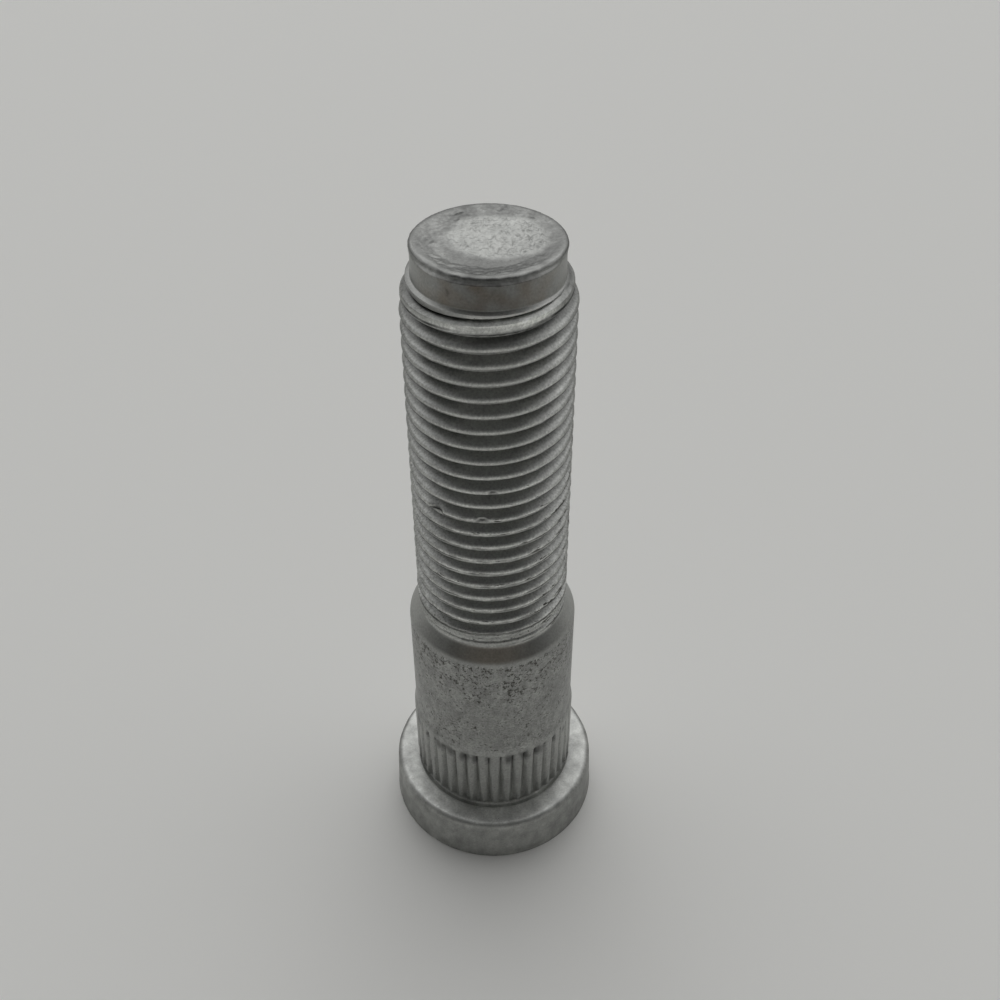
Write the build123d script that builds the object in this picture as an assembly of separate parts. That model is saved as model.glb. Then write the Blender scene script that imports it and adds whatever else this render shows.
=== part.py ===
from build123d import *
import os
from math import pi, radians, tan

# Wheel stud, pressed into a hub flange from behind. Millimetres, the axis on Z,
# the origin at the centre of the head's end face, the thread pointing up.

# Lengths along the axis
overall_length = 65.0
head_thickness = 5.0
shank_length = 21.4  # bearing face to the edge of the shoulder
knurl_length = 8.95  # bearing face to the top of the teeth
pilot_length = 2.55

# Thread size, M14 x 1.5 with the crests as rolled and coated. The solid holds the
# crest outline and the lead-in taper, and the fine turns themselves are left out
thread_nominal = 14.0
thread_pitch = 1.5
thread_flank_angle = 30.0
thread_crest_drop = 0.1  # crests below the nominal radius
thread_lead_length = 2.75
thread_lead_drop = 0.65  # end of the lead-in taper below the crests

# Plain shank and the shoulder that leads down to the thread
shoulder_step = 0.92  # shank above the thread crests
shoulder_angle = 30.0  # from the axis
shoulder_edge_radius = 1.2
shoulder_foot_radius = 0.8

# Serrations that bite into the flange hole
knurl_teeth = 42
knurl_rise = 0.18  # teeth above the shank
knurl_groove_depth = 0.45  # at the foot
knurl_groove_share_foot = 0.75  # groove width in tooth spacings
knurl_groove_share_top = 0.35
knurl_collar = 0.3  # unbroken ring above the groove tops

# Neck under the teeth, sunk a little into the head so that the flange seats flat
neck_drop = 0.05  # neck below the groove floors
neck_length = 0.5
relief_gap = 0.12  # bearing face clear of the teeth
relief_depth = 0.2

# Head, upset from the bar
head_overhang = 2.4  # head outside the teeth
head_top_edge_radius = 0.6
head_end_chamfer = 0.3

# Plain pilot that guides the nut, with a rolled rim round a dished end
pilot_drop = 0.16  # pilot below the thread root, so that the nut slips over it
pilot_rim_radius = 0.25
dish_rim_width = 0.5
dish_slope_width = 1.2
dish_depth = 0.25

# Depth of a metric thread: the crest flat is an eighth of the pitch at the nominal
# diameter, and the root flat is a sixth of the pitch
flank_slope = tan(radians(thread_flank_angle))
thread_depth = (thread_pitch - thread_pitch / 8 - thread_pitch / 6) / 2 / flank_slope

# Radii that follow
thread_radius = thread_nominal / 2 - thread_crest_drop
shank_radius = thread_radius + shoulder_step
knurl_radius = shank_radius + knurl_rise
knurl_root_radius = knurl_radius - knurl_groove_depth
neck_radius = knurl_root_radius - neck_drop
relief_radius = knurl_radius + relief_gap
head_radius = knurl_radius + head_overhang
lead_radius = thread_radius - thread_lead_drop
pilot_radius = thread_nominal / 2 - thread_depth - pilot_drop
dish_radius = pilot_radius - dish_rim_width
dish_floor_radius = dish_radius - dish_slope_width

# Heights that follow
relief_floor = head_thickness - relief_depth
neck_top = head_thickness + neck_length
tooth_foot = neck_top + knurl_radius - neck_radius  # the teeth end at 45 degrees
knurl_top = head_thickness + knurl_length
collar_top = knurl_top - knurl_rise  # the collar falls to the shank at 45 degrees
groove_top = collar_top - knurl_collar
shank_top = head_thickness + shank_length
thread_bottom = shank_top + shoulder_step / tan(radians(shoulder_angle))
thread_top = overall_length - pilot_length
dish_floor = overall_length - dish_depth


def turned_blank():
    """The stud before knurling, revolved from its half section. Each corner has its edge radius."""
    corners = (
        ((0, 0), 0),
        ((head_radius - head_end_chamfer, 0), 0),
        ((head_radius, head_end_chamfer), 0),
        ((head_radius, head_thickness), head_top_edge_radius),
        ((relief_radius, head_thickness), 0),
        ((relief_radius, relief_floor), 0),
        ((neck_radius, relief_floor), 0),
        ((neck_radius, neck_top), 0),
        ((knurl_radius, tooth_foot), 0),
        ((knurl_radius, collar_top), 0),
        ((shank_radius, knurl_top), 0),
        ((shank_radius, shank_top), shoulder_edge_radius),
        ((thread_radius, thread_bottom), shoulder_foot_radius),
        ((thread_radius, thread_top - thread_lead_length), 0),
        ((lead_radius, thread_top), 0),
        ((pilot_radius, thread_top), 0),
        ((pilot_radius, overall_length), pilot_rim_radius),
        ((dish_radius, overall_length), 0),
        ((dish_floor_radius, dish_floor), 0),
        ((0, dish_floor), 0),
    )
    points = [point for point, radius in corners]
    radii = [radius for point, radius in corners]
    with BuildPart() as blank:
        with BuildSketch(Plane.XZ):
            with BuildLine():
                FilletPolyline(*points, radius=radii, close=True)
            make_face()
        revolve(axis=Axis.Z)
    return blank.part


def knurl_groove():
    """One V groove between two teeth, at +X. Its floor climbs, so that it narrows away from the head."""
    half_width = knurl_groove_share_foot * pi * knurl_radius / knurl_teeth
    half_angle_slope = half_width / knurl_groove_depth
    depth_top = knurl_groove_depth * knurl_groove_share_top / knurl_groove_share_foot
    climb = knurl_groove_depth - depth_top
    reach = knurl_groove_depth + knurl_rise
    with BuildSketch(Plane.XY.offset(neck_top)) as section:
        with BuildLine():
            Polyline(
                (knurl_root_radius, 0),
                (knurl_root_radius + reach, -reach * half_angle_slope),
                (knurl_root_radius + reach, reach * half_angle_slope),
                close=True,
            )
        make_face()
    path = Vector(climb, 0, groove_top - neck_top)
    return extrude(section.sketch, amount=path.length, dir=path.normalized())


def wheel_stud():
    return turned_blank() - PolarLocations(0, knurl_teeth) * knurl_groove()


os.makedirs("parts", exist_ok=True)
export_step(wheel_stud(), "parts/wheel_stud.step")
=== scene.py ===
import bpy
import bmesh
import random
import numpy as np
from math import cos, radians, sin, tau
from mathutils import Matrix, Vector, noise


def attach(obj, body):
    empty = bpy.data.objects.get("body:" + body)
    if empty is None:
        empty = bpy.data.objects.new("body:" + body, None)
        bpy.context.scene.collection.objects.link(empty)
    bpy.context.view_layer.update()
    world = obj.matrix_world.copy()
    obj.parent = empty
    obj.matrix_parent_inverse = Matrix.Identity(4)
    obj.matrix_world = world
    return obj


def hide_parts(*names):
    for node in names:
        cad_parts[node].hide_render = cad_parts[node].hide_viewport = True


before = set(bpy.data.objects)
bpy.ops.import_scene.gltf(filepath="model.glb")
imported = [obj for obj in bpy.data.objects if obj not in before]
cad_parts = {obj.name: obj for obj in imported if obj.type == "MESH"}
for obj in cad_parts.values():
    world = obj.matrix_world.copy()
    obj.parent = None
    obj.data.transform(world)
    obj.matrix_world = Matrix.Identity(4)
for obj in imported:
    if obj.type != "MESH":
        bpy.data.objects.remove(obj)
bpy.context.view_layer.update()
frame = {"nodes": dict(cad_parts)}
print("frame loaded:", ", ".join(frame["nodes"]))

mm = 0.001  # the stud is modelled in millimetres and brought to metres at the end


def toLinear(hexColour):  # sRGB hex to the linear values that Blender takes
    parts = [int(hexColour[i:i + 2], 16) / 255 for i in (1, 3, 5)]
    return [p / 12.92 if p <= 0.04045 else ((p + 0.055) / 1.055) ** 2.4 for p in parts] + [1.0]


def addNode(tree, kind, setup=None, inputs=None):  # one node with its settings and links
    node = tree.nodes.new(kind)
    for name, value in (setup or {}).items():
        setattr(node, name, value)
    for name, value in (inputs or {}).items():
        if isinstance(value, bpy.types.NodeSocket):
            tree.links.new(value, node.inputs[name])
        else:
            node.inputs[name].default_value = value
    return node


# Turning: a ring is extruded along the outline, as on a lathe

def straight(start, end, rows):  # stations on a straight line, the first left out
    return [(start[0] + (end[0] - start[0]) * i / rows, start[1] + (end[1] - start[1]) * i / rows)
            for i in range(1, rows + 1)]


def rounded(middle, radius, fromAngle, toAngle, rows):  # stations on an arc, both ends in
    angles = [radians(fromAngle + (toAngle - fromAngle) * i / rows) for i in range(rows + 1)]
    return [(middle[0] + radius * cos(a), middle[1] + radius * sin(a)) for a in angles]


def startRing(name, columns, station, turn=0.0):  # leaves the ring selected in edit mode
    bpy.ops.object.select_all(action="DESELECT")
    bpy.ops.mesh.primitive_circle_add(vertices=columns, radius=station[0], fill_type="NOTHING",
                                      location=(0, 0, station[1]), rotation=(0, 0, turn))
    piece = bpy.context.object
    piece.name = name
    bpy.ops.object.transform_apply(location=True, rotation=True, scale=True)
    bpy.ops.object.mode_set(mode="EDIT")
    bpy.ops.mesh.select_mode(type="VERT")
    bpy.ops.mesh.select_all(action="SELECT")
    return piece


def turnOutline(start, stations):  # edit mode, with the start ring selected
    radius, height = start
    for newRadius, newHeight in stations:
        bpy.ops.mesh.extrude_region_move(TRANSFORM_OT_translate={"value": (0, 0, newHeight - height)})
        scale = newRadius / radius
        bpy.ops.transform.resize(value=(scale, scale, 1), center_override=(0, 0, newHeight))
        radius, height = newRadius, newHeight


def pickVerts(piece, wanted):  # edit mode: leaves only the wanted vertices selected
    bpy.ops.mesh.select_mode(type="VERT")
    bpy.ops.mesh.select_all(action="DESELECT")
    mesh = bmesh.from_edit_mesh(piece.data)
    for vert in mesh.verts:
        vert.select = bool(wanted(vert.co))
    mesh.select_flush_mode()
    bmesh.update_edit_mesh(piece.data)


# Shaping by hand: vertices are read as rows of x, y, z, moved and written back, in object mode

def readPoints(piece):
    points = np.empty(len(piece.data.vertices) * 3)
    piece.data.vertices.foreach_get("co", points)
    return points.reshape(-1, 3)


def writePoints(piece, points):
    piece.data.vertices.foreach_set("co", points.ravel())
    piece.data.update()


def fromAxis(points):
    return np.hypot(points[:, 0], points[:, 1])


def frontAngle(points):  # degrees round the axis from the front, towards +X
    return np.degrees(np.arctan2(points[:, 0], -points[:, 1]))


def noiseAt(points, size, shift=0):  # smooth noise of about that size, from -1 to 1, at each point
    return np.array([noise.noise(Vector(point) / size) for point in points + shift])


def smoothStep(low, high, values):  # 0 at low, 1 at high, either way round
    t = np.clip((values - low) / (high - low), 0, 1)
    return t * t * (3 - 2 * t)


# Head, serrated seat, plain shank and shoulder, turned in one run from the head's end

headSizes = {
    "radius": 10.4, "topRadius": 10.22, "thickness": 5.0, "endRound": 0.14, "topRound": 0.62,
    "reliefRadius": 7.95, "reliefFloor": 4.9, "neckRadius": 7.5,
    "dents": 0.03, "dentSize": 2.4, "smallDents": 0.018, "smallDentSize": 0.7,  # the head was pressed uneven
    "dentsFrom": 0.1, "dentsOutside": 8.5, "dentsSunk": 0.03,
    "topFrom": 4.2, "topDents": 0.6, "topSunk": 0.02,  # share of the dents that the top shows
}
seatSizes = {
    "teeth": 42, "columnsPerTooth": 8, "grooveFront": 4.75,  # degrees from the front to a groove
    "crest": 8.0, "neckTop": 5.45, "foot": 5.95, "grooveTop": 13.45, "collarTop": 13.6, "top": 14.1,
    "floorDepth": 0.42, "floorTop": 7.7,  # flat groove floors below this height
    "halfWidthTop": 0.17, "halfWidthFloorTop": 0.36, "halfWidthFoot": 0.5,
    "unevenDepth": 0.14, "unevenTop": 0.3, "seed": 5,  # no two grooves were pressed alike
}
shankSizes = {
    "radius": 7.82, "top": 26.4, "rowStep": 0.5, "edgeRound": 1.2,
    "neckRadius": 6.87, "shoulderAngle": 30.0, "footRound": 0.6,
}

columns = seatSizes["teeth"] * seatSizes["columnsPerTooth"]
columnStep = 360 / columns
ringTurn = radians(seatSizes["grooveFront"] % columnStep)

headStart = (headSizes["radius"] - headSizes["endRound"], 0.0)
headStations = (
    rounded((headStart[0], headSizes["endRound"]), headSizes["endRound"], -90, 0, 4)[1:]
    + straight((headSizes["radius"], headSizes["endRound"]),
               (headSizes["topRadius"], headSizes["thickness"] - headSizes["topRound"]), 9)
    + rounded((headSizes["topRadius"] - headSizes["topRound"], headSizes["thickness"] - headSizes["topRound"]),
              headSizes["topRound"], 0, 90, 7)[1:]
    + straight((headSizes["topRadius"] - headSizes["topRound"], headSizes["thickness"]),
               (headSizes["reliefRadius"], headSizes["thickness"]), 6)
    + [(headSizes["reliefRadius"] - 0.04, headSizes["thickness"] - 0.05),  # relief, with soft corners
       (headSizes["reliefRadius"] - 0.1, headSizes["reliefFloor"]),
       (headSizes["neckRadius"] + 0.08, headSizes["reliefFloor"]),
       (headSizes["neckRadius"], headSizes["reliefFloor"] + 0.1),
       (headSizes["neckRadius"], seatSizes["neckTop"])]
)
seatHeights = [6.2, 6.5, 6.85, 7.25, 7.7, 8.2, 8.8, 9.5, 10.3, 11.1, 11.9, 12.6,
               13.0, 13.14, 13.28, seatSizes["grooveTop"], seatSizes["grooveTop"] + 0.07]  # closer where grooves end
seatStations = (
    straight((headSizes["neckRadius"], seatSizes["neckTop"]), (seatSizes["crest"], seatSizes["foot"]), 5)
    + [(seatSizes["crest"], height) for height in seatHeights]
    + [(seatSizes["crest"], seatSizes["collarTop"] - 0.06),  # collar, with soft edges
       (seatSizes["crest"] - 0.03, seatSizes["collarTop"]),
       (shankSizes["radius"] + 0.02, seatSizes["top"] - 0.01),
       (shankSizes["radius"], seatSizes["top"] + 0.08)]
)
bodyPiece = startRing("stud", columns, headStart, ringTurn)
bpy.ops.mesh.edge_face_add()  # flat end of the head
bpy.ops.mesh.select_all(action="SELECT")
bpy.ops.mesh.select_mode(type="EDGE")
bpy.ops.mesh.region_to_loop()
bpy.ops.mesh.select_mode(type="VERT")
turnOutline(headStart, headStations + seatStations)
bpy.ops.object.mode_set(mode="OBJECT")
print("head and seat turned")


def grooveHalfWidth(height):  # the grooves widen towards the head
    heights = (seatSizes["neckTop"], seatSizes["floorTop"], seatSizes["grooveTop"])
    widths = (seatSizes["halfWidthFoot"], seatSizes["halfWidthFloorTop"], seatSizes["halfWidthTop"])
    return float(np.interp(height, heights, widths))


def pressSerrations(piece):  # groove columns are pushed in row by row, and the head is dented
    points = readPoints(piece)
    radii = fromAxis(points)
    toothWidth = tau * seatSizes["crest"] / seatSizes["teeth"]
    flankSlope = seatSizes["floorDepth"] / seatSizes["halfWidthFloorTop"]
    across = (frontAngle(points) - seatSizes["grooveFront"]) / 360 * seatSizes["teeth"]
    grooveIndex = np.round(across).astype(int) % seatSizes["teeth"]
    across = np.abs(across - np.round(across)) * toothWidth  # distance from the nearest groove's middle
    dice = random.Random(seatSizes["seed"])
    grooveScale = np.array([1 + dice.uniform(-1, 1) * seatSizes["unevenDepth"] for i in range(seatSizes["teeth"])])
    grooveEnd = np.array([seatSizes["grooveTop"] + 0.01 - dice.uniform(0, 1) * seatSizes["unevenTop"]
                          for i in range(seatSizes["teeth"])])
    halfWidths = np.array([grooveHalfWidth(z) for z in points[:, 2]]) * grooveScale[grooveIndex]
    depths = np.clip(flankSlope * (halfWidths - across), 0, seatSizes["floorDepth"])
    inSeat = (points[:, 2] > seatSizes["neckTop"]) & (points[:, 2] < grooveEnd[grooveIndex])
    shaped = np.where(inSeat, np.minimum(radii, seatSizes["crest"] - depths), radii)
    inHead = (points[:, 2] > headSizes["dentsFrom"]) & (points[:, 2] < headSizes["thickness"] + 0.01)
    inHead &= radii > headSizes["dentsOutside"]
    dents = (headSizes["dents"] * noiseAt(points, headSizes["dentSize"])
             + headSizes["smallDents"] * noiseAt(points, headSizes["smallDentSize"], 9))
    shaped += np.where(inHead, dents - headSizes["dentsSunk"], 0)
    onTop = inHead & (points[:, 2] > headSizes["topFrom"])
    points[:, 2] += np.where(onTop, headSizes["topDents"] * dents - headSizes["topSunk"], 0)
    points[:, :2] *= (shaped / np.maximum(radii, 0.1))[:, None]
    writePoints(piece, points)


pressSerrations(bodyPiece)
print("serrations pressed in")

# The shank and shoulder go on from the top ring
shoulderSlope = np.tan(radians(shankSizes["shoulderAngle"]))
neckHeight = shankSizes["top"] + (shankSizes["radius"] - shankSizes["neckRadius"]) / shoulderSlope
edgeReach = shankSizes["edgeRound"] * np.tan(radians(shankSizes["shoulderAngle"] / 2))
shankRows = round((shankSizes["top"] - edgeReach - seatStations[-1][1]) / shankSizes["rowStep"])
shankStations = (
    straight(seatStations[-1], (shankSizes["radius"], shankSizes["top"] - edgeReach), shankRows)
    + rounded((shankSizes["radius"] - shankSizes["edgeRound"], shankSizes["top"] - edgeReach),
              shankSizes["edgeRound"], 0, shankSizes["shoulderAngle"], 4)[1:]
)
footReach = shankSizes["footRound"] * np.tan(radians(shankSizes["shoulderAngle"] / 2))
footMiddle = (shankSizes["neckRadius"] + shankSizes["footRound"], neckHeight + footReach)
footStations = rounded(footMiddle, shankSizes["footRound"], 180 + shankSizes["shoulderAngle"], 180, 3)
shankStations += straight(shankStations[-1], footStations[0], 7) + footStations[1:]
bpy.ops.object.mode_set(mode="EDIT")
seatEnd = seatStations[-1][1]
pickVerts(bodyPiece, lambda co: abs(co.z - seatEnd) < 0.001)
turnOutline(seatStations[-1], shankStations)
bpy.ops.object.mode_set(mode="OBJECT")
bodyTop = shankStations[-1]
print("shank and shoulder turned, to", [round(v, 2) for v in bodyTop])

# Rolled thread: one pitch of the outline carried up a right-handed helix

threadSizes = {
    "pitch": 1.5, "crest": 6.92, "root": 6.08, "rootFlat": 0.19, "flankAngle": 30.0, "edgeRound": 0.13,
    "seamDepth": 0.004,  # rolled crests are closed
    "columns": 144, "frontGroove": 29.027,  # height of a groove's middle at the front
    "bottom": 28.45, "top": 62.27, "cutReach": 0.004,
    "leadStart": 60.2, "leadSlope": 0.14, "leadCurve": 0.09, "leadTilt": 0.15,  # crests fall away to the pilot
    "underSlope": 0.36, "underFrom": 0.3, "underTo": 0.58, "underHeights": (50, 38),  # fuller undersides low down
    "runOutFrom": -220.0, "runOutTo": 420.0, "runOutEnd": 450.0,  # degrees along the helix
    "runOutDrop": 0.33, "runOutLevel": (300, 30), "runOutNarrow": 0.5, "neckHeights": (28.4, 28.9),
    "lastGroove": 22, "lastNarrow": 2.2, "lastDrop": 0.04, "lastFlat": 0.08, "lastDeeper": 0.05,
    "lastFrom": -180, "lastFull": -20, "fadeFrom": 34.0, "fadeTo": 76.0,  # degrees, where the top groove runs out
    "ragged": 0.022, "raggedLow": 0.045, "raggedHeights": (50, 34), "wavy": 0.045, "wavyHeights": (52, 36),
    "foldDepth": 0.07, "foldPlace": 0.59, "foldReach": (260, 120),  # fold under the lowest crest
}
pilotSizes = {
    "columns": 144, "ringRadius": 6.3, "ringTop": 62.33, "radius": 5.9, "lip": 5.98, "top": 64.98,
    "rimEdge": 5.55, "gridRadius": 5.0,
    "scoopSlope": 0.2, "scoopDepth": 0.4, "scoopFront": -3.6, "scoopBack": 4.6, "scoopIn": 0.16, "scoopRagged": 0.26,
    "lipWear": 0.34, "lipRagged": 0.06, "lipDown": 0.04, "lipMiddle": -4,  # the front of the lip is battered back
    "lipHeights": (64.45, 64.72), "lipRadii": (4.3, 5.75), "lipAngles": (95, 40),
    "hammered": (0.65, 0.76), "hammeredSize": (3.75, 2.98), "hammeredEdge": (1.1, 0.85),
    "dimple": 0.13, "dimpleSize": (0.18, 0.34, 1.0), "swell": 0.02, "swellSize": 1.3,
    "scratch": 0.05, "scratchWidth": (0.14, 0.04),
}

# Nicks and laps in the crests: degrees from the front, height, size, depth
crestNicks = (
    (-41, 43.1, 0.5, 0.34), (-45.5, 42.5, 0.42, 0.28), (-6, 43.25, 0.4, 0.2), (1, 46.28, 0.3, 0.16),
    (130, 49.0, 0.5, 0.2), (-120, 37.0, 0.5, 0.2), (175, 57.3, 0.4, 0.16), (95, 33.0, 0.5, 0.18),
    (-150, 51.6, 0.45, 0.16),
)
# Scratches in the end face: from and to, in x and y
endScratches = (
    ((-2.45, 3.15), (-2.25, 3.3)), ((-2.5, 3.95), (-2.0, 4.3)), ((0.85, 4.55), (1.2, 5.0)),
    ((1.25, 5.1), (1.4, 5.3)), ((-4.3, 0.05), (-4.1, 0.25)), ((-5.2, -0.4), (-5.1, -0.35)),
    ((3.4, 3.5), (3.5, 3.4)),
)


def threadSection():  # (rise, radius) over one pitch, from groove middle to groove middle
    s = threadSizes
    slope = np.tan(radians(s["flankAngle"]))
    rootHalf = s["rootFlat"] / 2
    crestEdge = rootHalf + (s["crest"] - s["root"]) * slope
    half = [(0, s["root"]), (rootHalf * 0.8, s["root"] + 0.012), (rootHalf + 0.045, s["root"] + 0.09),
            ((rootHalf + crestEdge) / 2, (s["root"] + s["crest"]) / 2),
            (crestEdge - s["edgeRound"] * 0.75, s["crest"] - s["edgeRound"] * 1.4),
            (crestEdge + 0.01, s["crest"] - 0.045), (crestEdge + s["edgeRound"], s["crest"] - 0.004)]
    middle = [(s["pitch"] / 2, s["crest"] - s["seamDepth"])]
    return half + middle + [(s["pitch"] - rise, radius) for rise, radius in reversed(half)]


def startThread():  # one vertex at the front, extruded along the section, then screwed up the axis
    s = threadSizes
    section = threadSection()
    turnsBelow = 2
    firstHeight = s["frontGroove"] - turnsBelow * s["pitch"]
    bpy.ops.object.select_all(action="DESELECT")
    bpy.ops.mesh.primitive_circle_add(vertices=3, radius=0.1, location=(0, -section[0][1], firstHeight))
    piece = bpy.context.object
    piece.name = "thread"
    bpy.ops.object.transform_apply(location=True, rotation=True, scale=True)
    bpy.ops.object.mode_set(mode="EDIT")
    bpy.ops.mesh.select_mode(type="VERT")
    bpy.ops.mesh.select_all(action="SELECT")
    bpy.ops.mesh.merge(type="CENTER")
    for before, after in zip(section, section[1:]):
        bpy.ops.mesh.extrude_region_move(
            TRANSFORM_OT_translate={"value": (0, before[1] - after[1], after[0] - before[0])})
    bpy.ops.object.mode_set(mode="OBJECT")
    screw = piece.modifiers.new("helix", "SCREW")
    screw.axis = "Z"
    screw.angle = tau
    screw.screw_offset = s["pitch"]
    screw.iterations = round((s["top"] - firstHeight) / s["pitch"]) + 1
    screw.steps = screw.render_steps = s["columns"]
    screw.use_smooth_shade = True
    bpy.ops.object.modifier_apply(modifier="helix")
    bpy.ops.object.mode_set(mode="EDIT")
    bpy.ops.mesh.select_all(action="SELECT")
    bpy.ops.mesh.remove_doubles(threshold=0.002)
    bpy.ops.object.mode_set(mode="OBJECT")
    return piece


def turnsUp(points):  # turns above the first front groove, whole in the middle of a groove
    return (points[:, 2] - threadSizes["frontGroove"]) / threadSizes["pitch"] - frontAngle(points) / 360


def overGroove(turns):  # millimetres up from the middle of the nearest groove
    return (turns - np.round(turns)) * threadSizes["pitch"]


def flankRise(away):  # how far a flank has come up, that far from the foot of its groove
    return np.clip(away, 0, None) / np.tan(radians(threadSizes["flankAngle"]))


def crestLimit(points):  # lead-in: each turn of the crest stands upright, a little lower than the last
    s = threadSizes
    turns = turnsUp(points)
    middle = points[:, 2] + (np.floor(turns) + 0.5 - turns) * s["pitch"]
    above = np.clip((1 - s["leadTilt"]) * middle + s["leadTilt"] * points[:, 2] - s["leadStart"], 0, None)
    limit = s["crest"] - s["leadSlope"] * above - s["leadCurve"] * above ** 2
    return np.maximum(limit, pilotSizes["ringRadius"])


def runOut(along, away):  # the first turn of the groove comes out of the neck, shallow and narrow
    s = threadSizes
    sunk = smoothStep(s["runOutFrom"], s["runOutTo"], along)
    root = s["crest"] - sunk * (s["crest"] - s["root"])
    return root + flankRise(away * (1 + s["runOutNarrow"] * (1 - sunk)) - s["rootFlat"] / 2)


def fromNick(angles, heights, nick, stretch=1.0):  # distance from the middle of one nick
    turnTo = (angles - nick[0] + 180) % 360 - 180
    return np.hypot(np.radians(turnTo) * threadSizes["crest"] * 0.6, (heights - nick[1]) * stretch)


def shapeThread(piece):
    s = threadSizes
    points = readPoints(piece)
    radii = fromAxis(points)
    angles = frontAngle(points)
    limit = crestLimit(points)
    turns = turnsUp(points)
    upFromMiddle = overGroove(turns)
    along = np.round(turns) * 360 + angles  # degrees along the helix from the first front groove
    shaped = np.minimum(radii, limit)
    underside = (upFromMiddle > s["underFrom"]) & (upFromMiddle < s["underTo"] + 0.005)
    underside = np.where(underside, smoothStep(*s["underHeights"], points[:, 2]), 0)
    fuller = limit - 0.05 - (s["underTo"] - upFromMiddle) * s["underSlope"]
    shaped += underside * np.clip(fuller - shaped, 0, None)
    # the last groove gets narrow and runs out
    inLast = np.where(np.round(turns) >= s["lastGroove"], 1.0, 0.0) * smoothStep(s["lastFrom"], s["lastFull"], angles)
    narrow = s["root"] - s["lastDeeper"] + flankRise(
        np.abs(upFromMiddle + s["lastDrop"]) * s["lastNarrow"] - s["lastFlat"])
    shaped += inLast * (np.minimum(narrow, limit) - shaped)
    lastTurn = s["lastGroove"] * 360
    shaped += (limit - shaped) * smoothStep(lastTurn + s["fadeFrom"], lastTurn + s["fadeTo"], along)
    # the first one comes out of the neck
    lowered = np.abs(upFromMiddle + s["runOutDrop"] * smoothStep(*s["runOutLevel"], along))
    started = np.maximum(shaped, np.minimum(runOut(along, lowered), limit))
    shaped = np.where(along < s["runOutEnd"], started, shaped)
    shaped = np.minimum(shaped, np.interp(points[:, 2], s["neckHeights"], (shankSizes["neckRadius"], s["crest"])))
    # the crests are ragged, more so near the shoulder, folded over at the lowest turn and nicked
    crestShare = smoothStep(limit - 0.3, limit - 0.04, shaped)
    ragged = noiseAt(points, 0.4) * 0.6 + noiseAt(points, 0.17, 7) * 0.4
    wavy = noiseAt(points, 0.5, 17) + 0.6 * noiseAt(points, 0.25, 4)
    shaped += crestShare * ragged * (s["ragged"] + s["raggedLow"] * smoothStep(*s["raggedHeights"], points[:, 2]))
    points[:, 2] += s["wavy"] * crestShare * smoothStep(*s["wavyHeights"], points[:, 2]) * wavy
    fold = smoothStep(0.1, 0.02, np.abs(upFromMiddle - s["foldPlace"])) * smoothStep(*s["foldReach"], np.abs(along))
    shaped -= s["foldDepth"] * fold
    for nick in crestNicks:
        nicked = smoothStep(nick[2], nick[2] * 0.4, fromNick(angles, points[:, 2], nick))
        shaped -= nick[3] * crestShare * nicked * (1 + 0.8 * ragged)
    points[:, :2] *= (shaped / radii)[:, None]
    writePoints(piece, points)


threadPiece = startThread()
shapeThread(threadPiece)
bpy.ops.object.mode_set(mode="EDIT")
for height, upper in ((threadSizes["bottom"], False), (threadSizes["top"], True)):
    bpy.ops.mesh.select_all(action="SELECT")
    bpy.ops.mesh.bisect(plane_co=(0, 0, height), plane_no=(0, 0, 1), threshold=threadSizes["cutReach"],
                        clear_inner=not upper, clear_outer=upper)
bpy.ops.object.mode_set(mode="OBJECT")
print("thread rolled:", len(threadPiece.data.polygons), "faces")

# Pilot end, with a mushroomed rim round a dished, sheared end face

pilotStart = (pilotSizes["ringRadius"], pilotSizes["ringTop"])
pilotStations = [
    (6.16, 62.39), (6.03, 62.42), (5.94, 62.47), (5.9, 62.58), (5.89, 62.9), (5.89, 63.3), (5.89, 63.7),
    (5.89, 64.1), (5.9, 64.36), (5.91, 64.48), (5.95, 64.56), (pilotSizes["lip"], 64.65),
    (pilotSizes["lip"], 64.75), (5.95, 64.85), (5.88, 64.92), (5.77, 64.965), (5.66, pilotSizes["top"]),
    (pilotSizes["rimEdge"], pilotSizes["top"]), (5.4, pilotSizes["top"]), (5.25, pilotSizes["top"]),
    (5.12, pilotSizes["top"]), (pilotSizes["gridRadius"], pilotSizes["top"]),
]
pilotPiece = startRing("pilot", pilotSizes["columns"], pilotStart)
turnOutline(pilotStart, pilotStations)
bpy.ops.mesh.fill_grid(span=pilotSizes["columns"] // 4)
bpy.ops.mesh.subdivide(number_cuts=2)
bpy.ops.object.mode_set(mode="OBJECT")


def fromDisc(points):  # distance from the middle of the hammered disc, 1 at its edge
    middle, size = pilotSizes["hammered"], pilotSizes["hammeredSize"]
    return np.hypot((points[:, 0] - middle[0]) / size[0], (points[:, 1] - middle[1]) / size[1])


def fromScratch(points, scratch):  # distance from one scratch
    start, end = np.array(scratch)
    share = np.clip((points[:, :2] - start) @ (end - start) / np.sum((end - start) ** 2), 0, 1)
    return np.hypot(*(points[:, :2] - start - share[:, None] * (end - start)).T)


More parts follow.
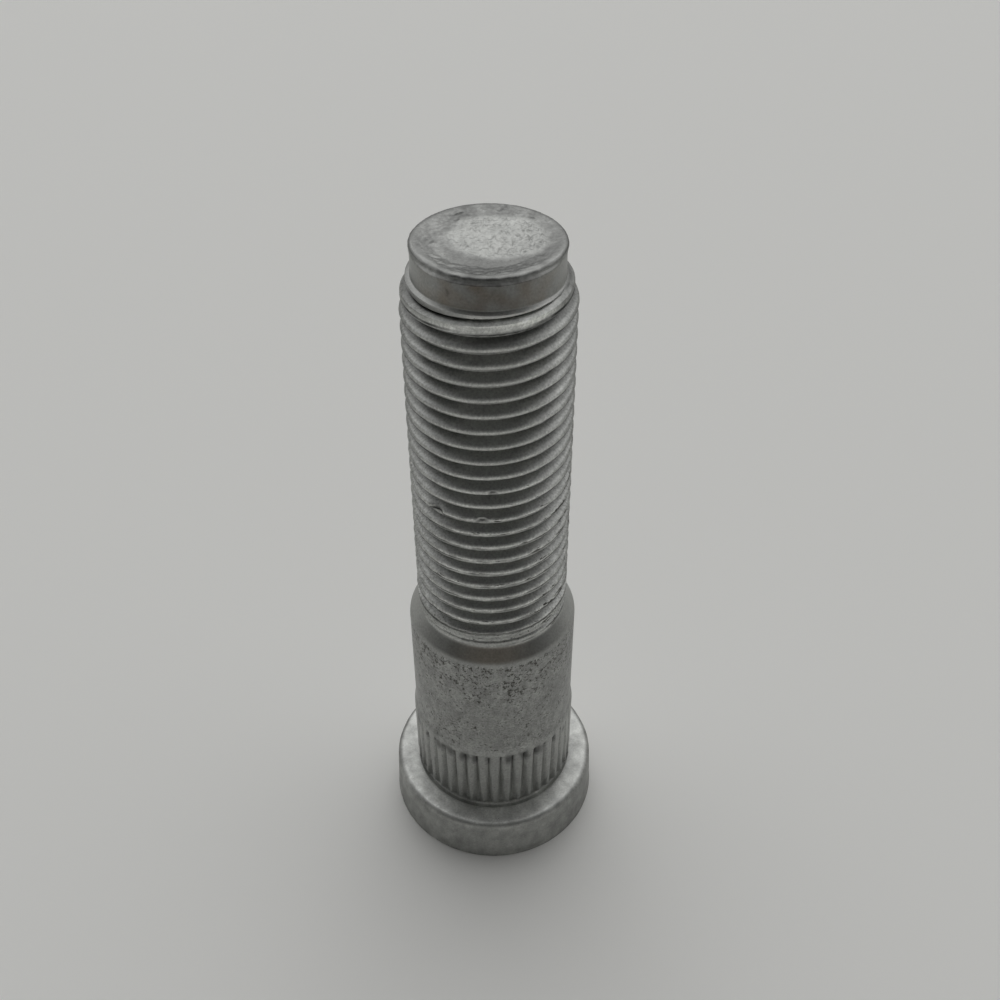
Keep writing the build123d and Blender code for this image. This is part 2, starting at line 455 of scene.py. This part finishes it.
def batterEnd(piece):  # the end face was sheared off: it leans to a scoop behind the front of the lip
    s = pilotSizes
    points = readPoints(piece)
    radii = fromAxis(points)
    onFace = (points[:, 2] > s["top"] - 0.001) & (radii < s["rimEdge"] + 0.01)
    lean = s["scoopDepth"] * np.clip((s["scoopBack"] - points[:, 1]) / (s["scoopBack"] - s["scoopFront"]), 0, 1)
    flat = points * (1, 1, 0)
    chipped = noiseAt(flat, 0.5) + 0.6 * noiseAt(flat, 0.22, 5)
    atFront = smoothStep(*s["lipAngles"], np.abs(frontAngle(points) - s["lipMiddle"]))
    scoopEdge = s["rimEdge"] - atFront * (s["scoopIn"] + s["scoopRagged"] * chipped)
    scoop = np.clip((scoopEdge - radii) * s["scoopSlope"], 0, None)
    points[:, 2] -= np.where(onFace, np.minimum(scoop, lean), 0)
    hammered = smoothStep(*s["hammeredEdge"], fromDisc(points)) * onFace
    dimples = noiseAt(points / s["dimpleSize"], 1.0)
    points[:, 2] += hammered * dimples * s["dimple"] - onFace * s["swell"] * noiseAt(points, s["swellSize"])
    for scratch in endScratches:
        points[:, 2] -= onFace * s["scratch"] * smoothStep(*s["scratchWidth"], fromScratch(points, scratch))
    onLip = smoothStep(*s["lipHeights"], points[:, 2]) * smoothStep(*s["lipRadii"], radii)
    pushed = onLip * (atFront * (s["lipWear"] + 1.4 * s["lipRagged"] * chipped)
                      + (1 - atFront) * s["lipRagged"] * 0.5 * chipped)
    points[:, :2] *= (1 - pushed / np.maximum(radii, 0.1))[:, None]
    points[:, 2] -= onLip * atFront * s["lipDown"] * (1 + chipped)
    writePoints(piece, points)


batterEnd(pilotPiece)
print("pilot turned")

# One closed stud: the three stretches are joined and bridged

joinSizes = {
    "pickReach": 0.0042,  # a little more than the cut of the thread reaches
    "ringAngle": 95, "ringAngles": (70, 20), "ringFoot": (61.9, 62.3), "ringHead": (62.9, 62.5),
    "ringIn": 0.55, "ringDown": 0.1, "smoothAngle": 40,
}

bpy.ops.object.select_all(action="DESELECT")
for piece in (threadPiece, pilotPiece, bodyPiece):
    piece.select_set(True)
bpy.context.view_layer.objects.active = bodyPiece
bpy.ops.object.join()
stud = bodyPiece
bpy.ops.object.mode_set(mode="EDIT")
for lowRing, highRing in ((bodyTop[1], threadSizes["bottom"]), (threadSizes["top"], pilotSizes["ringTop"])):
    pickVerts(stud, lambda co: min(abs(co.z - lowRing), abs(co.z - highRing)) < joinSizes["pickReach"])
    bpy.ops.mesh.select_mode(type="EDGE")
    bpy.ops.mesh.bridge_edge_loops()
bpy.ops.mesh.select_mode(type="VERT")
bpy.ops.mesh.select_all(action="SELECT")
bpy.ops.mesh.normals_make_consistent(inside=False)
bpy.ops.mesh.select_all(action="DESELECT")
bpy.ops.mesh.select_non_manifold()
bpy.ops.object.mode_set(mode="OBJECT")
openVerts = sum(vert.select for vert in stud.data.vertices)
triangles = sum(len(face.vertices) - 2 for face in stud.data.polygons)
print("stud joined:", triangles, "triangles,", openVerts, "open vertices")


def rollRingDown(piece):  # at the right the ring under the pilot is rolled down into the first turn
    points = readPoints(piece)
    radii = np.maximum(fromAxis(points), 0.1)
    rolled = smoothStep(*joinSizes["ringAngles"], np.abs(frontAngle(points) - joinSizes["ringAngle"]))
    rolled *= smoothStep(*joinSizes["ringFoot"], points[:, 2]) * smoothStep(*joinSizes["ringHead"], points[:, 2])
    rolled *= radii > pilotSizes["radius"]
    points[:, :2] *= (1 - joinSizes["ringIn"] * rolled * (radii - pilotSizes["radius"]) / radii)[:, None]
    points[:, 2] -= joinSizes["ringDown"] * rolled
    writePoints(piece, points)


rollRingDown(stud)
bpy.ops.object.mode_set(mode="EDIT")
bpy.ops.mesh.select_all(action="SELECT")
bpy.ops.transform.resize(value=(mm, mm, mm), center_override=(0, 0, 0))
bpy.ops.object.mode_set(mode="OBJECT")
bpy.ops.object.shade_smooth_by_angle(angle=radians(joinSizes["smoothAngle"]))

# Where the coat is thin, stained, worn pale, pitted or matt, and where light and shade are painted into its colour,
# kept as values on the stud's vertices

markZones = {  # lower and upper end and how soft they are, in millimetres
    "seat": (5.3, 13.8, 0.2), "grooveEnds": (12.3, 13.5, 0.4), "shank": (13.9, 26.3, 0.25),
    "shankEdge": (25.7, 26.7, 0.3), "cone": (26.7, 28.0, 0.15), "thread": (28.1, 61.9, 0.15),
    "runOut": (28.5, 30.1, 0.2), "lowestCrest": (29.1, 30.0, 0.2), "firstTurn": (60.9, 62.2, 0.1),
    "nutWearAndLight": (61.6, 61.98, 0.08), "topGrooveShade": (61.7, 62.3, 0.05), "ring": (62.05, 62.44, 0.03),
    "pilot": (62.5, 64.52, 0.08),
}

points = readPoints(stud) / mm
radii = fromAxis(points)
heights = points[:, 2]
angles = frontAngle(points)
offFront = np.abs(angles)
front = smoothStep(75, 20, offFront)  # 1 at the front, 0 at the sides and the back
offLip = np.abs(angles - pilotSizes["lipMiddle"])
broad = noiseAt(points, 3.2)
cloudy = noiseAt(points, 1.1, 11)


def inZone(name):  # 1 between the two heights of a zone, with soft ends
    low, high, soft = markZones[name]
    return smoothStep(low - soft, low + soft, heights) * smoothStep(high + soft, high - soft, heights)


onThread, onShank, onCone, onSeat = inZone("thread"), inZone("shank"), inZone("cone"), inZone("seat")
onHead = heights < 5.2
onHeadTop = onHead * smoothStep(4.85, 4.97, heights) * smoothStep(10.05, 9.7, radii)
inSerration = onSeat * smoothStep(7.97, 7.85, radii)
onFirstTurn = inZone("firstTurn")
onRing = inZone("ring") * smoothStep(5.95, 6.15, radii)
onPilot = inZone("pilot") * smoothStep(5.35, 5.5, radii)
onLipEdge = smoothStep(64.5, 64.7, heights) * smoothStep(5.6, 5.8, radii) * smoothStep(45, 100, offLip)
onBurr = smoothStep(64.75, 64.85, heights) * smoothStep(4.7, 4.9, radii) * smoothStep(100, 45, offLip)
atLipFront = smoothStep(*pilotSizes["lipAngles"], offLip)
onEnd = smoothStep(64.3, 64.4, heights) * smoothStep(5.75, 5.65, radii + 0.3 * atLipFront)
onDisc = onEnd * smoothStep(1.16, 0.86, fromDisc(points) + 0.08 * cloudy)
onRim = onEnd * (1 - onDisc) * (1 - onBurr)

turns = turnsUp(points)
upFromMiddle = overGroove(turns)  # from the groove's middle
fromCrest = (turns - np.floor(turns) - 0.5) * threadSizes["pitch"]
along = np.floor(turns) * 360 + angles
lowDown = smoothStep(51, 43, heights)  # the lower half of the thread is rougher
limit = crestLimit(points)
onCrest = onThread * smoothStep(limit - 0.2 + 0.09 * lowDown, limit - 0.04, radii)

# Share of its brightness that the coat gains or loses at each mark
threadTone = {
    "crest": 0.08, "crestHighlightFront": 0.62, "crestLow": 0.2, "crestRunOut": 0.5,  # worn pale, with a painted highlight added towards the front
    "lap": 0.45, "underside": 0.35, "lowestCrest": 0.28, "lowestSeam": 0.75, "seam": 0.6, "shadeUnderCrest": 0.94,
    "groove": 0.55, "grooveFront": 0.47, "flankLightAside": 0.14, "grooveAside": 0.28, "right": 0.14,
    "turnFrontLight": 0.12, "turnPatches": 0.3, "turnSpecks": 0.2, "nutWearAndLight": 0.32, "shadeUnderTurn": 0.6, "shadeOverTurn": 0.32,
    "ring": 0.25, "ringLightFront": 0.7, "topGrooveShade": 0.2, "nick": 0.8,
}
endTone = {
    "lipEdge": 0.45, "pilot": 0.1, "pilotStainAndShadeFront": 0.4, "pilotClouds": 0.2, "spot": 0.45,
    "rim": 0.47, "rimShadeFront": 0.09, "rimClouds": 0.22, "rimBroad": 0.1, "rimSpecks": 0.2, "rimLeft": 0.2,
    "disc": 0.03, "burr": 0.42, "burrClouds": 0.25, "burrShadeFront": 0.12, "scratch": 0.3,
}
bodyTone = {
    "head": 0.22, "headBroad": 0.14, "headClouds": 0.24, "headSpecks": 0.2, "headTop": 0.24, "headTopFrontLight": 0.5,
    "cone": 0.12, "coneShadeFront": 0.35, "coneShadeAside": 0.28,
    "shankPatches": 0.2, "shankSpecks": 0.2, "shankBroad": 0.16, "shankShadeOffFront": 0.12, "right": 0.1,
    "seat": 0.12, "grooveFoot": 0.1, "grooveTop": 0.45, "grooveClouds": 0.6, "grooveEnds": 0.6,
}


def toneThread():
    by = threadTone
    wornAndHighlight = by["crest"] + by["crestHighlightFront"] * front + by["crestLow"] * (1 + front) * lowDown
    tone = 1 + onCrest * wornAndHighlight * (1 - by["crestRunOut"] * smoothStep(30, 29.3, heights))
    # laps, a strip of painted light under the lower crests, and seams along them
    lowFront = front * lowDown * onThread
    lapHere = smoothStep(-0.15, 0.35, noiseAt(points * (1, 1, 0.6), 0.8, 91))
    tone *= 1 - by["lap"] * lapHere * lowFront * smoothStep(0.12, 0.05, np.abs(upFromMiddle - 0.6))
    tone *= 1 + by["underside"] * lowFront * smoothStep(0.12, 0.02, np.abs(upFromMiddle - 0.45))
    tone *= 1 - by["lowestCrest"] * onThread * front * inZone("lowestCrest")  # less worn, and less of the painted highlight at the front
    lowestSeam = smoothStep(0.06, 0.01, np.abs(fromCrest - 0.02)) * smoothStep(260, 160, np.abs(along))
    tone *= 1 - by["lowestSeam"] * onThread * lowestSeam
    seam = smoothStep(0.1, 0.02, np.abs(fromCrest + 0.05 + 0.08 * noiseAt(points, 0.6, 95)))
    seam *= smoothStep(-0.3, 0.2, noiseAt(points, 1.2, 97)) * smoothStep(80, 40, offFront)
    seam *= smoothStep(46, 40, heights) * smoothStep(29.9, 30.4, heights)
    tone *= 1 - by["seam"] * onThread * seam
    # painted shade under the crests at the sides, which also draws the laps there, and in the grooves; painted light
    # and shade on the flanks and grooves aside, and painted light on the right
    below = np.where(upFromMiddle < 0, upFromMiddle + threadSizes["pitch"], upFromMiddle)
    shadeUnderCrest = onThread * smoothStep(0.16, 0.05, np.abs(below - 0.64)) * smoothStep(10, 45, offFront)
    tone *= 1 - by["shadeUnderCrest"] * shadeUnderCrest * np.clip(0.9 + 0.5 * noiseAt(points, 0.9, 81), 0, 1)
    tone *= 1 - onThread * (by["groove"] - by["grooveFront"] * front) * smoothStep(6.75, 6.4, radii)
    asideShading = onThread * smoothStep(12, 30, offFront) * smoothStep(70, 50, offFront) * (1 - 0.75 * lowDown)
    tone *= 1 + asideShading * (by["flankLightAside"] * smoothStep(6.45, 6.75, radii)
                         - by["grooveAside"] * smoothStep(6.6, 6.3, radii))
    tone *= 1 + by["right"] * onThread * smoothStep(25, 8, np.abs(angles - 40))
    # first turn, worn by the nut and painted lighter at the front, with painted shade below it at the right and in the
    # groove above it at the left
    patches = by["turnPatches"] * noiseAt(points, 0.6, 41) + by["turnSpecks"] * noiseAt(points, 0.3, 45)
    tone *= 1 + onFirstTurn * (by["turnFrontLight"] * front + patches)
    tone *= 1 + by["nutWearAndLight"] * front * inZone("nutWearAndLight")
    toRight = smoothStep(-30, -5, angles) * smoothStep(75, 45, angles)
    toLeft = smoothStep(-8, -25, angles) * smoothStep(-80, -55, angles)
    last = threadSizes["lastGroove"]
    shadeUnderTurn = np.where(np.floor(turns) == last - 1, smoothStep(-0.1, -0.24, fromCrest), 0)
    shadeOverTurn = np.where(np.round(turns) == last, smoothStep(0.6, 0.3, np.abs(upFromMiddle)), 0)
    tone *= (1 - by["shadeUnderTurn"] * toRight * shadeUnderTurn * onThread) * (1 - by["shadeOverTurn"] * toLeft * shadeOverTurn)
    # painted shade in the top groove
    tone *= 1 - by["topGrooveShade"] * inZone("topGrooveShade") * smoothStep(6.25, 6.1, radii)
    # painted light on the front of the ring, which is darker all round
    tone *= 1 + onRing * (by["ringLightFront"] * front - by["ring"])
    for nick in crestNicks:
        nicked = smoothStep(nick[2] * 0.7, nick[2] * 0.25, fromNick(angles, heights, nick, 1.6))
        tone *= 1 - by["nick"] * onThread * nicked
    return tone


def toneEnd():
    by = endTone
    tone = 1 - by["lipEdge"] * onLipEdge
    # dark stain on the front of the pilot, with painted shade there as well
    shaded = by["pilot"] + by["pilotStainAndShadeFront"] * smoothStep(62, 5, offFront)
    tone *= 1 - onPilot * shaded * (1 + by["pilotClouds"] * cloudy)
    fromSpot = np.hypot(np.radians(angles + 30) * pilotSizes["radius"], heights - 63.55)  # one dark spot at the left
    tone *= 1 - by["spot"] * onPilot * smoothStep(0.35, 0.1, fromSpot)
    rimMarks = by["rimClouds"] * cloudy + by["rimBroad"] * broad + by["rimSpecks"] * noiseAt(points, 0.3, 71)
    # darker, marked rim, with painted shade at its front
    tone *= 1 - onRim * (by["rim"] + by["rimShadeFront"] * front + rimMarks * (1 - 0.7 * atLipFront))
    tone *= 1 + by["rimLeft"] * onRim * smoothStep(30, 10, np.abs(angles + 48)) * smoothStep(3.2, 3.8, radii)
    tone *= 1 + by["disc"] * onDisc
    # darker burr, with painted shade at the very front
    tone *= 1 - onBurr * (by["burr"] - by["burrClouds"] * cloudy + by["burrShadeFront"] * smoothStep(22, 8, offFront))
    for scratch in endScratches:
        tone *= 1 - by["scratch"] * onEnd * smoothStep(0.17, 0.04, fromScratch(points, scratch))
    return tone


def toneBody():
    by = bodyTone
    headMarks = by["headBroad"] * broad + by["headClouds"] * cloudy + by["headSpecks"] * noiseAt(points, 0.45, 51)
    # uneven marks on the head, and painted light on its front
    tone = 1 + onHead * (headMarks + by["head"] * front)
    # paler head top, with painted light on its front
    tone *= 1 + onHeadTop * (by["headTop"] + by["headTopFrontLight"] * front)
    # painted shade on the cone at the front and aside
    coneShadeAside = smoothStep(8, 32, offFront) * smoothStep(80, 50, offFront)
    tone *= 1 + onCone * (by["cone"] - by["coneShadeFront"] * front - by["coneShadeAside"] * coneShadeAside)
    tone *= 1 + onShank * (by["shankPatches"] * noiseAt(points, 0.7, 31) + by["shankSpecks"] * noiseAt(points, 0.4, 61)
                           + by["shankBroad"] * noiseAt(points, 1.5, 35))
    # painted shade on the shank away from the front
    tone *= 1 - by["shankShadeOffFront"] * onShank * (1 - front)
    # painted shade on the shank and head towards the right
    tone *= 1 - by["right"] * (onShank + onHead) * smoothStep(15, 55, angles)
    # serrations: painted light at the groove feet, stained where the grooves end
    tone *= (1 + by["seat"] * onSeat) * (1 + by["grooveFoot"] * inSerration * smoothStep(11, 8, heights))
    stained = np.clip(by["grooveTop"] + by["grooveClouds"] * cloudy, 0, 0.75)
    tone *= 1 - inSerration * smoothStep(12.2, 13.0, heights) * stained
    drips = smoothStep(-0.15, 0.35, noiseAt(points * (1, 1, 0.4), 0.7, 21))
    tone *= 1 - by["grooveEnds"] * inZone("grooveEnds") * drips
    return tone


tone = (1 + 0.06 * broad + 0.05 * cloudy) * toneThread() * toneEnd() * toneBody()
stain = onPilot * front * np.clip(0.25 + 0.6 * cloudy, 0, 1) + 0.5 * onCone * smoothStep(40, 5, np.abs(angles + 1))
shankPits = np.clip(0.64 + 0.2 * smoothStep(19, 25, heights) + 0.14 * broad + 0.36 * cloudy, 0, 1)
pitting = onShank * shankPits + 0.2 * inZone("shankEdge") + 0.1 * onCone + onSeat * (0.3 + 0.2 * broad)
pitting += 0.25 * onHead + 0.35 * onRim + 0.35 * onFirstTurn + 0.6 * onThread * inZone("runOut")
lapClouds = np.clip(0.55 + 0.8 * broad + 0.3 * np.sin(np.radians(angles)), 0, 1)
lapped = onCrest * smoothStep(56, 40, heights) * lapClouds
matte = 0.15 * onCrest - 0.05 * onThread + 0.1 * onHead - 0.02 * onHeadTop + 0.05 * onDisc
grainy = 0.55 + onThread * (0.65 - 0.35 * front + 0.35 * lowDown * (1 - front))
grainy += 0.5 * onShank + 0.2 * onSeat + 0.3 * onRim
coatMarks = {"tone": tone, "stain": stain, "pitting": pitting, "lapped": lapped, "matte": matte, "grainy": grainy}
for name, values in coatMarks.items():
    stud.data.attributes.new(name, "FLOAT", "POINT").data.foreach_set("value", values.astype(np.float32))
print("coat marked")

# Zinc-flake coated steel: flat metal flakes in a thin baked film over rolled steel. It gives a
# matte silver grey with a fine grain, dark pits where the scale came off, and paler worn crests.

coatSizes = {
    "coat": "#A9AAA7", "coatDark": "#8D8E8C", "pit": "#555451", "stain": "#8F8272",
    "mottle": 2.2, "grain": 0.2, "pits": 0.3,  # millimetres; the flakes are finer, drawn coarser to show
    "speckle": 0.24, "speckleFrom": 0.5, "speckleTo": 0.7,
    "pitHigh": 0.74, "pitReach": 0.26, "pitSoft": 0.1,
    "lapLength": 1.1, "lapHeight": 0.14, "lapHigh": 0.78, "lapReach": 0.26, "lapSoft": 0.05,
    "rough": 0.34, "grainRough": 0.16, "bump": 0.3, "bumpDepth": 0.03,
}


def zincFlake():
    s = coatSizes
    material = bpy.data.materials.new("zincFlakeSteel")
    material.use_nodes = True
    tree = material.node_tree
    tree.nodes.clear()
    marks = {name: addNode(tree, "ShaderNodeAttribute", {"attribute_name": name}).outputs["Fac"]
             for name in coatMarks}
    place = addNode(tree, "ShaderNodeTexCoord")
    inMm = addNode(tree, "ShaderNodeMapping", None, {"Vector": place.outputs["Object"], "Scale": (1000, 1000, 1000)})
    spot = inMm.outputs["Vector"]
    mottle = addNode(tree, "ShaderNodeTexNoise", None,
                     {"Vector": spot, "Scale": 1 / s["mottle"], "Detail": 5.0, "Roughness": 0.65})
    grain = addNode(tree, "ShaderNodeTexNoise", None,
                    {"Vector": spot, "Scale": 1 / s["grain"], "Detail": 2.0, "Roughness": 0.6})
    coat = addNode(tree, "ShaderNodeMix", {"data_type": "RGBA"},
                   {"Factor": mottle.outputs["Fac"], 6: toLinear(s["coatDark"]), 7: toLinear(s["coat"])})
    stained = addNode(tree, "ShaderNodeMix", {"data_type": "RGBA"},
                      {"Factor": marks["stain"], 6: coat.outputs[2], 7: toLinear(s["stain"])})
    light = addNode(tree, "ShaderNodeMapRange", {"clamp": False},
                    {"Value": grain.outputs["Fac"], "From Min": s["speckleFrom"], "From Max": s["speckleTo"],
                     "To Min": 0.0, "To Max": s["speckle"]})
    speckle = addNode(tree, "ShaderNodeMath", {"operation": "MULTIPLY_ADD"},
                      {0: light.outputs["Result"], 1: marks["grainy"], 2: 1.0})
    # the tone mark brings in painted light and shade as well as wear, stains and marks
    strength = addNode(tree, "ShaderNodeMath", {"operation": "MULTIPLY"},
                       {0: speckle.outputs["Value"], 1: marks["tone"]})
    toned = addNode(tree, "ShaderNodeVectorMath", {"operation": "SCALE"},
                    {"Vector": stained.outputs[2], "Scale": strength.outputs["Value"]})
    # pits: the high spots of a noise, more of them where the coat is marked as pitted
    pitNoise = addNode(tree, "ShaderNodeTexNoise", None,
                       {"Vector": spot, "Scale": 1 / s["pits"], "Detail": 3.0, "Roughness": 0.7})
    pitSum = addNode(tree, "ShaderNodeMath", {"operation": "MULTIPLY_ADD"},
                     {0: marks["pitting"], 1: s["pitReach"], 2: pitNoise.outputs["Fac"]})
    pitMask = addNode(tree, "ShaderNodeMapRange", {"interpolation_type": "SMOOTHSTEP"},
                      {"Value": pitSum.outputs["Value"], "From Min": s["pitHigh"],
                       "From Max": s["pitHigh"] + s["pitSoft"]})
    # laps: the same, drawn out along the turns
    lapSpot = addNode(tree, "ShaderNodeMapping", None,
                      {"Vector": spot, "Scale": (1 / s["lapLength"], 1 / s["lapLength"], 1 / s["lapHeight"])})
    lapNoise = addNode(tree, "ShaderNodeTexNoise", None,
                       {"Vector": lapSpot.outputs["Vector"], "Scale": 1.0, "Detail": 2.0, "Roughness": 0.6})
    lapSum = addNode(tree, "ShaderNodeMath", {"operation": "MULTIPLY_ADD"},
                     {0: marks["lapped"], 1: s["lapReach"], 2: lapNoise.outputs["Fac"]})
    lapMask = addNode(tree, "ShaderNodeMapRange", {"interpolation_type": "SMOOTHSTEP"},
                      {"Value": lapSum.outputs["Value"], "From Min": s["lapHigh"],
                       "From Max": s["lapHigh"] + s["lapSoft"]})
    holes = addNode(tree, "ShaderNodeMath", {"operation": "MAXIMUM"},
                    {0: pitMask.outputs["Result"], 1: lapMask.outputs["Result"]})
    colour = addNode(tree, "ShaderNodeMix", {"data_type": "RGBA"},
                     {"Factor": holes.outputs["Value"], 6: toned.outputs["Vector"], 7: toLinear(s["pit"])})
    film = addNode(tree, "ShaderNodeMath", {"operation": "MULTIPLY_ADD"},
                   {0: grain.outputs["Fac"], 1: s["grainRough"], 2: s["rough"]})
    rough = addNode(tree, "ShaderNodeMath", {"operation": "ADD"}, {0: film.outputs["Value"], 1: marks["matte"]})
    relief = addNode(tree, "ShaderNodeMath", {"operation": "SUBTRACT"},
                     {0: grain.outputs["Fac"], 1: holes.outputs["Value"]})
    sunk = addNode(tree, "ShaderNodeMath", {"operation": "MULTIPLY"}, {0: marks["grainy"], 1: s["bump"]})
    bump = addNode(tree, "ShaderNodeBump", None,
                   {"Strength": sunk.outputs["Value"], "Distance": s["bumpDepth"] * mm,
                    "Height": relief.outputs["Value"]})
    shader = addNode(tree, "ShaderNodeBsdfPrincipled", None,
                     {"Base Color": colour.outputs[2], "Metallic": 1.0, "Roughness": rough.outputs["Value"],
                      "Normal": bump.outputs["Normal"]})
    addNode(tree, "ShaderNodeOutputMaterial", None, {"Surface": shader.outputs["BSDF"]})
    return material


stud.data.materials.clear()
stud.data.materials.append(zincFlake())
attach(stud, "root")
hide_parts("wheel_stud")
print("stud coated")

# Pale floor with a low wall round it, soft light and the camera

stageSizes = {
    "floor": 3.0, "floorColour": "#EDEDEA",
    "wall": 1.45, "wallHeight": 0.3, "wallSides": 96, "wallColour": "#C2C2BF",  # metres
    "paperRough": 0.9, "paperSheen": 0.1,
}
lightSizes = {
    "front": 0.135, "back": 1.54, "darkAim": (-0.08, -0.8, 0.6), "darkEdge": -0.15, "darkCore": 0.75,
    "horizon": 0.25, "horizonTop": 0.6,  # the room is dimmer near the floor
    "lampPlace": (0.0, 0.8, 1.1), "lampSize": 1.0, "lampPower": 2.4,  # metres and watts
}
cameraSizes = {
    "place": (0.0, -77.82, 107.13), "down": 40.951, "turn": 0.574, "roll": -0.278,  # millimetres and degrees
    "sensor": 36, "focal": 1.1744, "clip": 0.002,  # focal length in frame widths
}

bpy.ops.object.select_all(action="DESELECT")
bpy.ops.mesh.primitive_plane_add(size=stageSizes["floor"], location=(0, 0, 0))
floor = bpy.context.object
floor.name = "floor"
wall = startRing("wall", stageSizes["wallSides"], (stageSizes["wall"], 0.0))
bpy.ops.mesh.extrude_region_move(TRANSFORM_OT_translate={"value": (0, 0, stageSizes["wallHeight"])})
bpy.ops.object.mode_set(mode="OBJECT")
bpy.ops.object.shade_smooth()
for sheet, colour in ((floor, stageSizes["floorColour"]), (wall, stageSizes["wallColour"])):
    paper = bpy.data.materials.new(sheet.name + "Paper")  # matt paper, plain all over
    paper.use_nodes = True
    paperShader = paper.node_tree.nodes["Principled BSDF"]
    paperShader.inputs["Roughness"].default_value = stageSizes["paperRough"]
    paperShader.inputs["Specular IOR Level"].default_value = stageSizes["paperSheen"]
    paperShader.inputs["Base Color"].default_value = toLinear(colour)
    sheet.data.materials.append(paper)

world = bpy.data.worlds.new("studio")
bpy.context.scene.world = world
world.use_nodes = True
sky = world.node_tree
sky.nodes.clear()
aim = addNode(sky, "ShaderNodeTexCoord")
towardsDark = addNode(sky, "ShaderNodeVectorMath", {"operation": "DOT_PRODUCT"},
                      {0: aim.outputs["Generated"], 1: lightSizes["darkAim"]})
ramp = addNode(sky, "ShaderNodeMapRange", {"interpolation_type": "SMOOTHSTEP"},
               {"Value": towardsDark.outputs["Value"], "From Min": lightSizes["darkEdge"],
                "From Max": lightSizes["darkCore"], "To Min": lightSizes["back"], "To Max": lightSizes["front"]})
aimAxes = addNode(sky, "ShaderNodeSeparateXYZ", None, {"Vector": aim.outputs["Generated"]})
low = addNode(sky, "ShaderNodeMapRange", {"interpolation_type": "SMOOTHSTEP"},
              {"Value": aimAxes.outputs["Z"], "From Min": 0.0, "From Max": lightSizes["horizonTop"],
               "To Min": lightSizes["horizon"], "To Max": 1.0})
glow = addNode(sky, "ShaderNodeMath", {"operation": "MULTIPLY"},
               {0: ramp.outputs["Result"], 1: low.outputs["Result"]})
background = addNode(sky, "ShaderNodeBackground", None, {"Strength": glow.outputs["Value"]})
addNode(sky, "ShaderNodeOutputWorld", None, {"Surface": background.outputs["Background"]})

bpy.ops.object.light_add(type="AREA", location=lightSizes["lampPlace"])
lamp = bpy.context.object
lamp.name = "overheadLamp"
lamp.data.size = lightSizes["lampSize"]
lamp.data.energy = lightSizes["lampPower"]
lamp.rotation_euler = lamp.location.to_track_quat("Z", "Y").to_euler()

cameraData = bpy.data.cameras.new("photoCamera")
cameraData.sensor_width = cameraSizes["sensor"]
cameraData.lens = cameraSizes["sensor"] * cameraSizes["focal"]
cameraData.clip_start = cameraSizes["clip"]
camera = bpy.data.objects.new("photoCamera", cameraData)
bpy.context.collection.objects.link(camera)
camera.matrix_world = (
    Matrix.Translation([v * mm for v in cameraSizes["place"]])
    @ Matrix.Rotation(radians(-cameraSizes["turn"]), 4, "Z")
    @ Matrix.Rotation(radians(90 - cameraSizes["down"]), 4, "X")
    @ Matrix.Rotation(radians(cameraSizes["roll"]), 4, "Z")
)
bpy.context.scene.camera = camera
bpy.context.scene.view_settings.view_transform = "Standard"
print("floor, light and camera set")
